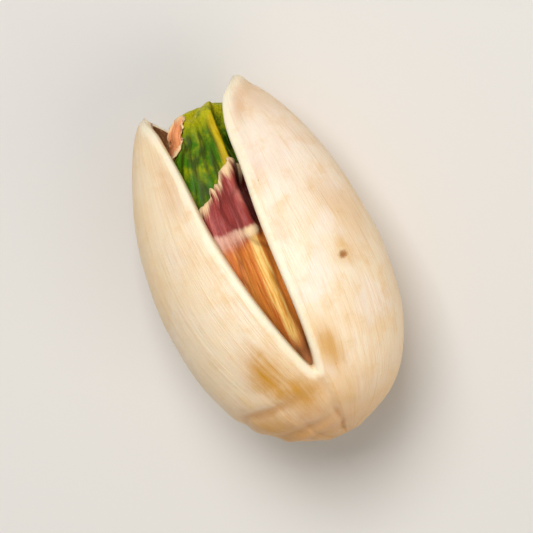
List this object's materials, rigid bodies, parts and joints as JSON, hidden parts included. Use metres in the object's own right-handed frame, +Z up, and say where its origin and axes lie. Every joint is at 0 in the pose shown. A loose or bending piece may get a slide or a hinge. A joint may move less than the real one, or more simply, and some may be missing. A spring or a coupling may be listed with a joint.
{
  "type": "pistachio in shell",
  "caption": "Roasted pistachio nut lying on its back, its pale split shell gaping at the tip over a green kernel half wrapped in a torn mauve seed coat.",
  "frame": {"origin": "on the surface the nut rests on, under the middle of its bounding box", "axes": "+X towards the open tip of the shell, -X the stem end, +Z up through the open seam, Y across the split"},
  "size_m": [0.0202, 0.0128, 0.0123],
  "materials": {
    "shell_ivory": "smooth dry woody shell, cream with tan fibres and amber smudges, satin sheen",
    "kernel_green": "slightly oily wrinkled seed flesh, bright yellow-green to dark green",
    "seed_coat_mauve": "thin papery skin, mauve at the torn edge and orange-tan towards the stem end"
  },
  "bodies": {
    "root": {"shell": "shell_ivory", "kernel": "kernel_green", "seed_coat": "seed_coat_mauve"}
  },
  "joints": []
}
